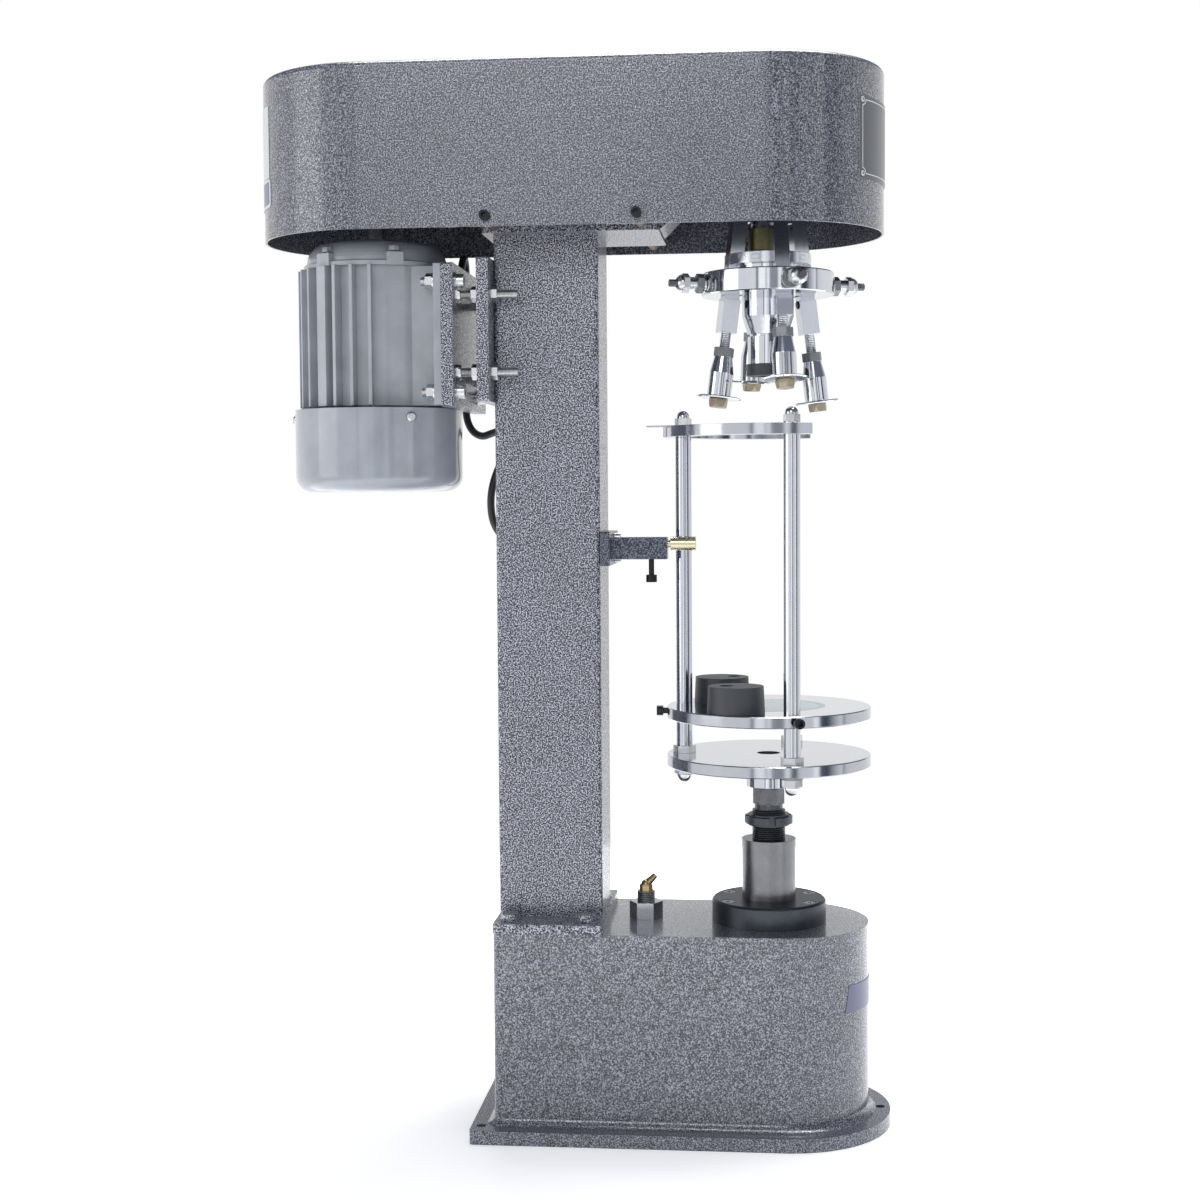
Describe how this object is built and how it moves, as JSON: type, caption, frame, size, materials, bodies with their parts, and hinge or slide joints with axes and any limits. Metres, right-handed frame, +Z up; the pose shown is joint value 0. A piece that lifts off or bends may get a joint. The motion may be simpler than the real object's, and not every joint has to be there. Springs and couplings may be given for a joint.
{
  "type": "screw capper",
  "caption": "Upright machine that screws caps on bottles: a belt driven roller head over a bottle cage on a lifting ram, with the motor behind the column.",
  "frame": {"origin": "on the underside of the base, on the axis of the spindle and the ram", "axes": "+Z up along the spindle axis, +X from the column towards the bottle cage and the operator, +Y to the far side of the picture"},
  "size_m": [0.5994, 0.236, 0.9995],
  "materials": {
    "hammertone": "hammered enamel, semi-gloss",
    "bolts": "painted over",
    "dark_screws": "black oxide",
    "bearing_steel": "ground",
    "zinc": "zinc plated",
    "blackened": "black oxide",
    "steel": "turned and ground",
    "ram_steel": "turned, satin",
    "chrome": "polished",
    "bright_plate": "turned, bright",
    "brass": "turned",
    "bronze": "dull",
    "cast": "machined",
    "motor_paint": "gloss enamel",
    "cowl_paint": "gloss enamel",
    "fan_plastic": "matte",
    "rubber": "matte",
    "belt": "matte",
    "cable": "satin",
    "pale_plastic": "satin"
  },
  "bodies": {
    "frame": {"base_casting": "hammertone", "column": "hammertone", "base_bolts": "bolts", "spindle_arm": "hammertone", "hood": "hammertone", "frame_screws": "dark_screws", "spindle_bearings": "bearing_steel", "column_plate": "hammertone", "tension_nuts": "zinc", "lift_flange": "blackened", "grease_fitting": "steel", "stop_bracket": "blackened", "motor_cable": "cable", "cable_gland": "cable", "drive_belt": "belt", "lift_gearbox": "cast"},
    "motor": {"motor_frame": "motor_paint", "motor_end_shield": "motor_paint", "fan_cowl": "cowl_paint", "motor_plate": "hammertone", "motor_bolts": "zinc", "terminal_box": "motor_paint"},
    "rotor": {"motor_shaft": "steel", "cooling_fan": "fan_plastic", "motor_pulley": "cast"},
    "lift_drive": {"lift_shaft": "steel"},
    "cam": {"lift_cam": "steel"},
    "head": {"spindle": "steel", "spindle_pulley": "cast", "lever_carrier": "steel", "lever_ring": "steel", "lever_pins": "steel", "spring_studs": "zinc"},
    "presser_group": {"presser": "chrome", "spreader": "bronze", "rubber_tip": "rubber"},
    "lift": {"ram": "ram_steel"},
    "table": {"table_screw": "steel", "lock_nut": "blackened", "table_plate": "bright_plate", "posts": "chrome", "post_nuts": "zinc", "cage_ring": "bright_plate"},
    "locator": {"locating_plate": "bright_plate", "plate_insert": "pale_plastic", "clamp_screws": "dark_screws", "rubber_pads": "rubber"},
    "guide": {"guide_pin": "brass"},
    "arm_left": {"lever_left": "steel", "holder_left": "chrome"},
    "wheel_left": {"roller_left": "steel"},
    "arm_near": {"lever_near": "steel", "holder_near": "chrome"},
    "wheel_near": {"roller_near": "steel"},
    "arm_right": {"lever_right": "steel", "holder_right": "chrome"},
    "wheel_right": {"roller_right": "steel"},
    "arm_far": {"lever_far": "steel", "holder_far": "chrome"},
    "wheel_far": {"roller_far": "steel"}
  },
  "joints": [
    {"name": "motor_tension", "type": "slide", "parent": "frame", "child": "motor", "axis": [1, 0, 0], "range_m": [-0.008, 0.006], "deforming": ["drive_belt", "motor_cable"]},
    {"name": "motor_spin", "type": "hinge", "parent": "motor", "child": "rotor", "pos_m": [-0.377, 0, 0.8], "axis": [0, 0, 1], "continuous": true},
    {"name": "spindle_spin", "type": "hinge", "parent": "frame", "child": "head", "pos_m": [0, 0, 0.9], "axis": [0, 0, 1], "continuous": true},
    {"name": "lift_shaft_spin", "type": "hinge", "parent": "frame", "child": "lift_drive", "pos_m": [-0.207, 0, 0.5], "axis": [0, 0, 1], "continuous": true},
    {"name": "presser_slide", "type": "slide", "parent": "head", "child": "presser_group", "axis": [0, 0, 1], "range_m": [0, 0.01], "stiffness_N_per_m": 3000},
    {"name": "cam_turn", "type": "hinge", "parent": "frame", "child": "cam", "pos_m": [0, 0, 0.078], "axis": [1, 0, 0], "range_deg": [0, 180]},
    {"name": "ram_lift", "type": "slide", "parent": "frame", "child": "lift", "axis": [0, 0, 1], "range_m": [0, 0.04]},
    {"name": "table_adjust", "type": "slide", "parent": "lift", "child": "table", "axis": [0, 0, 1], "range_m": [-0.008, 0.015]},
    {"name": "plate_slide", "type": "slide", "parent": "table", "child": "locator", "axis": [0, 0, 1], "range_m": [-0.026, 0.08]},
    {"name": "guide_slide", "type": "slide", "parent": "frame", "child": "guide", "axis": [1, 0, 0], "range_m": [-0.003, 0.01]},
    {"name": "lever_close_left", "type": "hinge", "parent": "head", "child": "arm_left", "pos_m": [-0.03129, -0.01139, 0.826], "axis": [0.342, -0.9397, 0], "range_deg": [0, 6]},
    {"name": "roller_spin_left", "type": "hinge", "parent": "arm_left", "child": "wheel_left", "pos_m": [-0.04621, -0.01682, 0.69667], "axis": [0.1145, 0.0417, 0.9925], "continuous": true},
    {"name": "lever_close_near", "type": "hinge", "parent": "head", "child": "arm_near", "pos_m": [0.01139, -0.03129, 0.826], "axis": [0.9397, 0.342, 0], "range_deg": [0, 6]},
    {"name": "roller_spin_near", "type": "hinge", "parent": "arm_near", "child": "wheel_near", "pos_m": [0.01615, -0.04438, 0.71255], "axis": [-0.0417, 0.1145, 0.9925], "continuous": true},
    {"name": "lever_close_right", "type": "hinge", "parent": "head", "child": "arm_right", "pos_m": [0.03129, 0.01139, 0.826], "axis": [-0.342, 0.9397, 0], "range_deg": [0, 6]},
    {"name": "roller_spin_right", "type": "hinge", "parent": "arm_right", "child": "wheel_right", "pos_m": [0.04661, 0.01697, 0.6932], "axis": [-0.1145, -0.0417, 0.9925], "continuous": true},
    {"name": "lever_close_far", "type": "hinge", "parent": "head", "child": "arm_far", "pos_m": [-0.01139, 0.03129, 0.826], "axis": [-0.9397, -0.342, 0], "range_deg": [0, 6]},
    {"name": "roller_spin_far", "type": "hinge", "parent": "arm_far", "child": "wheel_far", "pos_m": [-0.01605, 0.0441, 0.71503], "axis": [0.0417, -0.1145, 0.9925], "continuous": true}
  ],
  "couplings": [
    {"joint": "spindle_spin", "follows": "motor_spin", "ratio": 0.39189},
    {"joint": "lift_shaft_spin", "follows": "motor_spin", "ratio": 0.50877},
    {"joint": "cam_turn", "follows": "ram_lift", "rad_per_m": 78.54},
    {"joint": "lever_close_left", "follows": "presser_slide", "rad_per_m": 10.472},
    {"joint": "lever_close_near", "follows": "presser_slide", "rad_per_m": 10.472},
    {"joint": "lever_close_right", "follows": "presser_slide", "rad_per_m": 10.472},
    {"joint": "lever_close_far", "follows": "presser_slide", "rad_per_m": 10.472}
  ]
}
